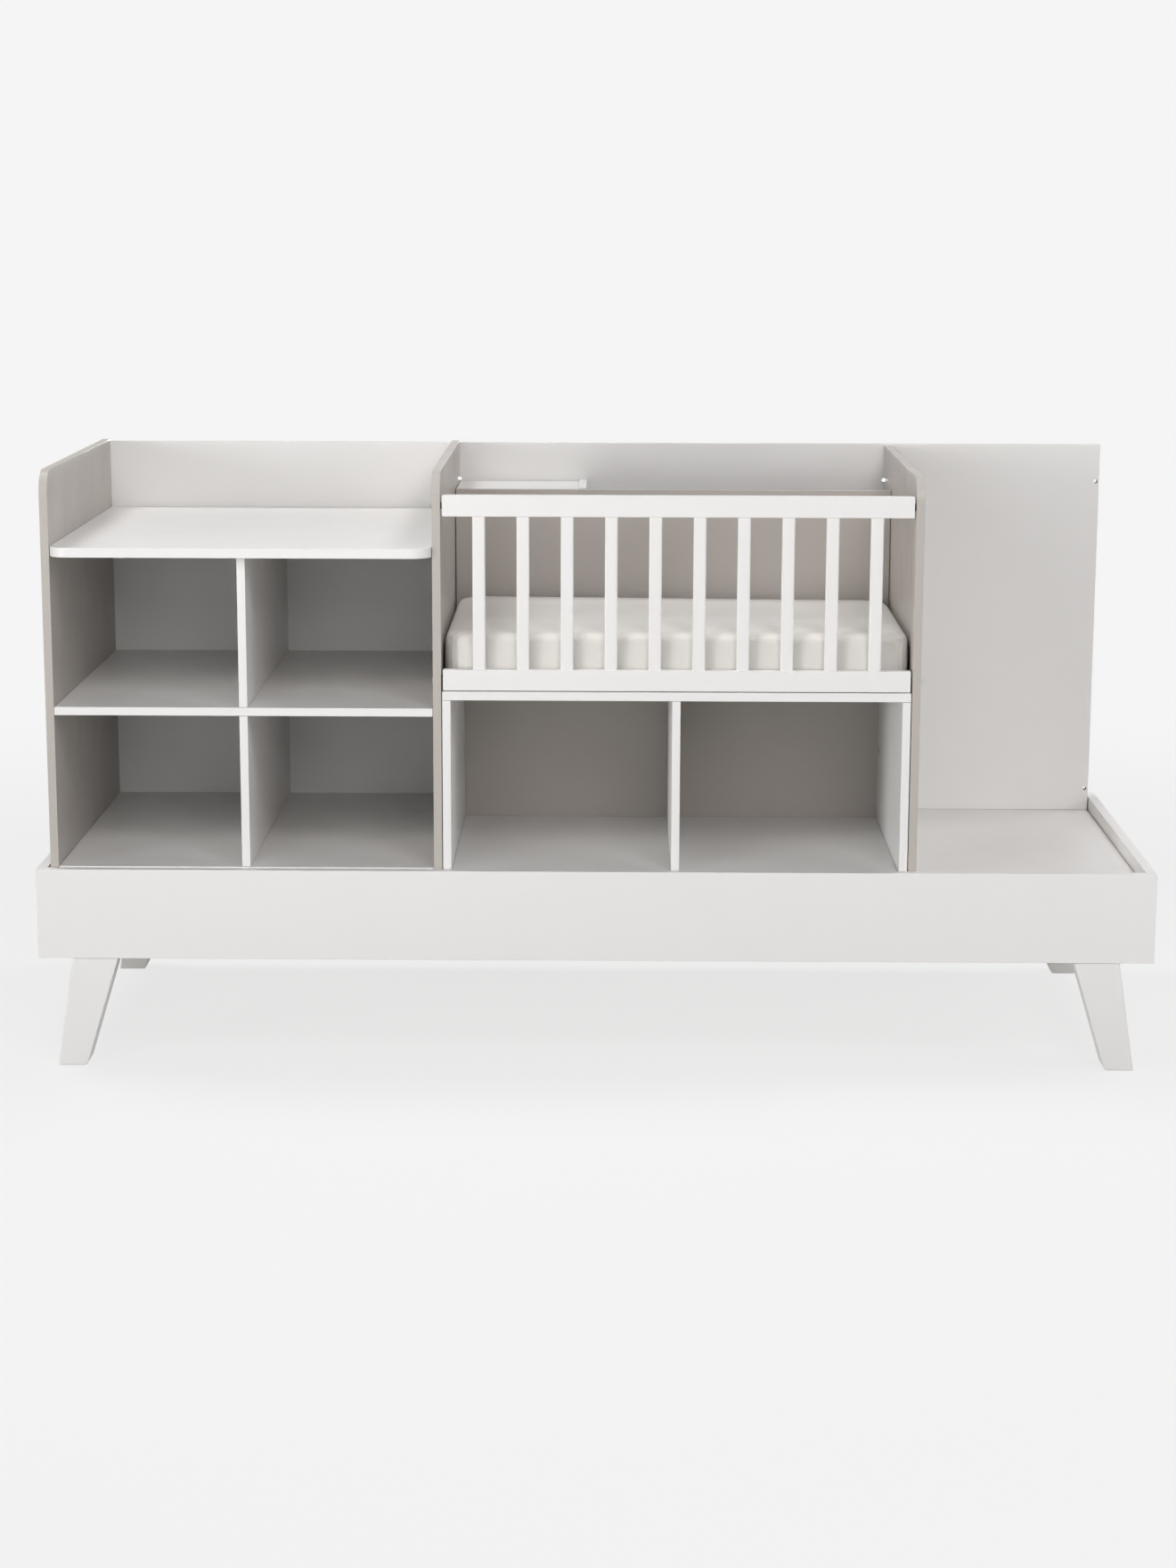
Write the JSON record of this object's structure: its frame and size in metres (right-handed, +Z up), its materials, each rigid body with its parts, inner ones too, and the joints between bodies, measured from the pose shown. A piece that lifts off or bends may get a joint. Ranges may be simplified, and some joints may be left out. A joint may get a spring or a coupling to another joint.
{
  "type": "crib with attached changer",
  "caption": "Convertible nursery bed base on splayed legs that carries a changing unit with open cubbies, a small slatted crib over a cubby unit, and an open bay with a tall back panel.",
  "frame": {"origin": "on the floor, at the middle of the overall width and the middle of the overall depth", "axes": "+X to the right seen from the front (changing unit at -X, open bay at +X), -Y to the front, +Z up"},
  "size_m": [1.96, 0.791, 1.049],
  "materials": {
    "white_board": "white satin-lacquered board",
    "greige_board": "warm grey-beige satin-lacquered board",
    "pine": "planed softwood, unpainted",
    "steel": "zinc-plated steel",
    "spacer_plastic": "dark moulded plastic",
    "glide_felt": "grey felt",
    "mattress_cover": "woven cotton fitted sheet over foam"
  },
  "bodies": {
    "furniture": {"bed_front_board": "white_board", "bed_rear_board": "white_board", "bed_left_end": "white_board", "bed_right_end": "white_board", "leg_front_left": "white_board", "leg_front_right": "white_board", "leg_rear_left": "white_board", "leg_rear_right": "white_board", "leg_glides": "glide_felt", "leg_studs": "steel", "corner_blocks": "pine", "corner_screws": "steel", "end_screws": "steel", "ledger_front": "pine", "ledger_rear": "pine", "ledger_screws": "steel", "base_slats": "pine", "platform_left": "white_board", "platform_middle": "white_board", "platform_right": "white_board", "rear_rail": "white_board", "rear_rail_screws": "steel", "rear_panel_left": "white_board", "rear_panel_middle": "white_board", "rear_panel_right": "white_board", "joint_plates": "steel", "joint_plate_screws": "steel", "rear_panel_screws": "steel", "changer_left_side": "greige_board", "changer_right_side": "greige_board", "changing_top": "white_board", "changer_mid_shelf": "white_board", "changer_base": "white_board", "changer_upper_divider": "white_board", "changer_lower_divider": "white_board", "changer_cams": "steel", "changer_cam_bolts": "steel", "changer_dowels": "pine", "divider_dowels": "pine", "crib_right_side": "greige_board", "crib_back": "greige_board", "unit_top": "white_board", "unit_left_side": "white_board", "unit_right_side": "white_board", "unit_divider": "white_board", "unit_base": "white_board", "unit_cams": "steel", "unit_cam_bolts": "steel", "unit_screws": "steel", "barrier_top_rail": "white_board", "barrier_bottom_rail": "white_board", "barrier_slats": "white_board", "barrier_bolts": "steel", "barrier_nuts": "steel", "barrier_spacers": "spacer_plastic", "rear_shelf": "white_board", "rear_upright": "white_board", "rear_brackets": "steel", "bracket_screws": "steel"},
    "mattress": {"mattress": "mattress_cover"}
  },
  "joints": [
    {"name": "mattress_lift", "type": "slide", "parent": "furniture", "child": "mattress", "axis": [0, 0, 1], "range_m": [0, 0.4]}
  ]
}
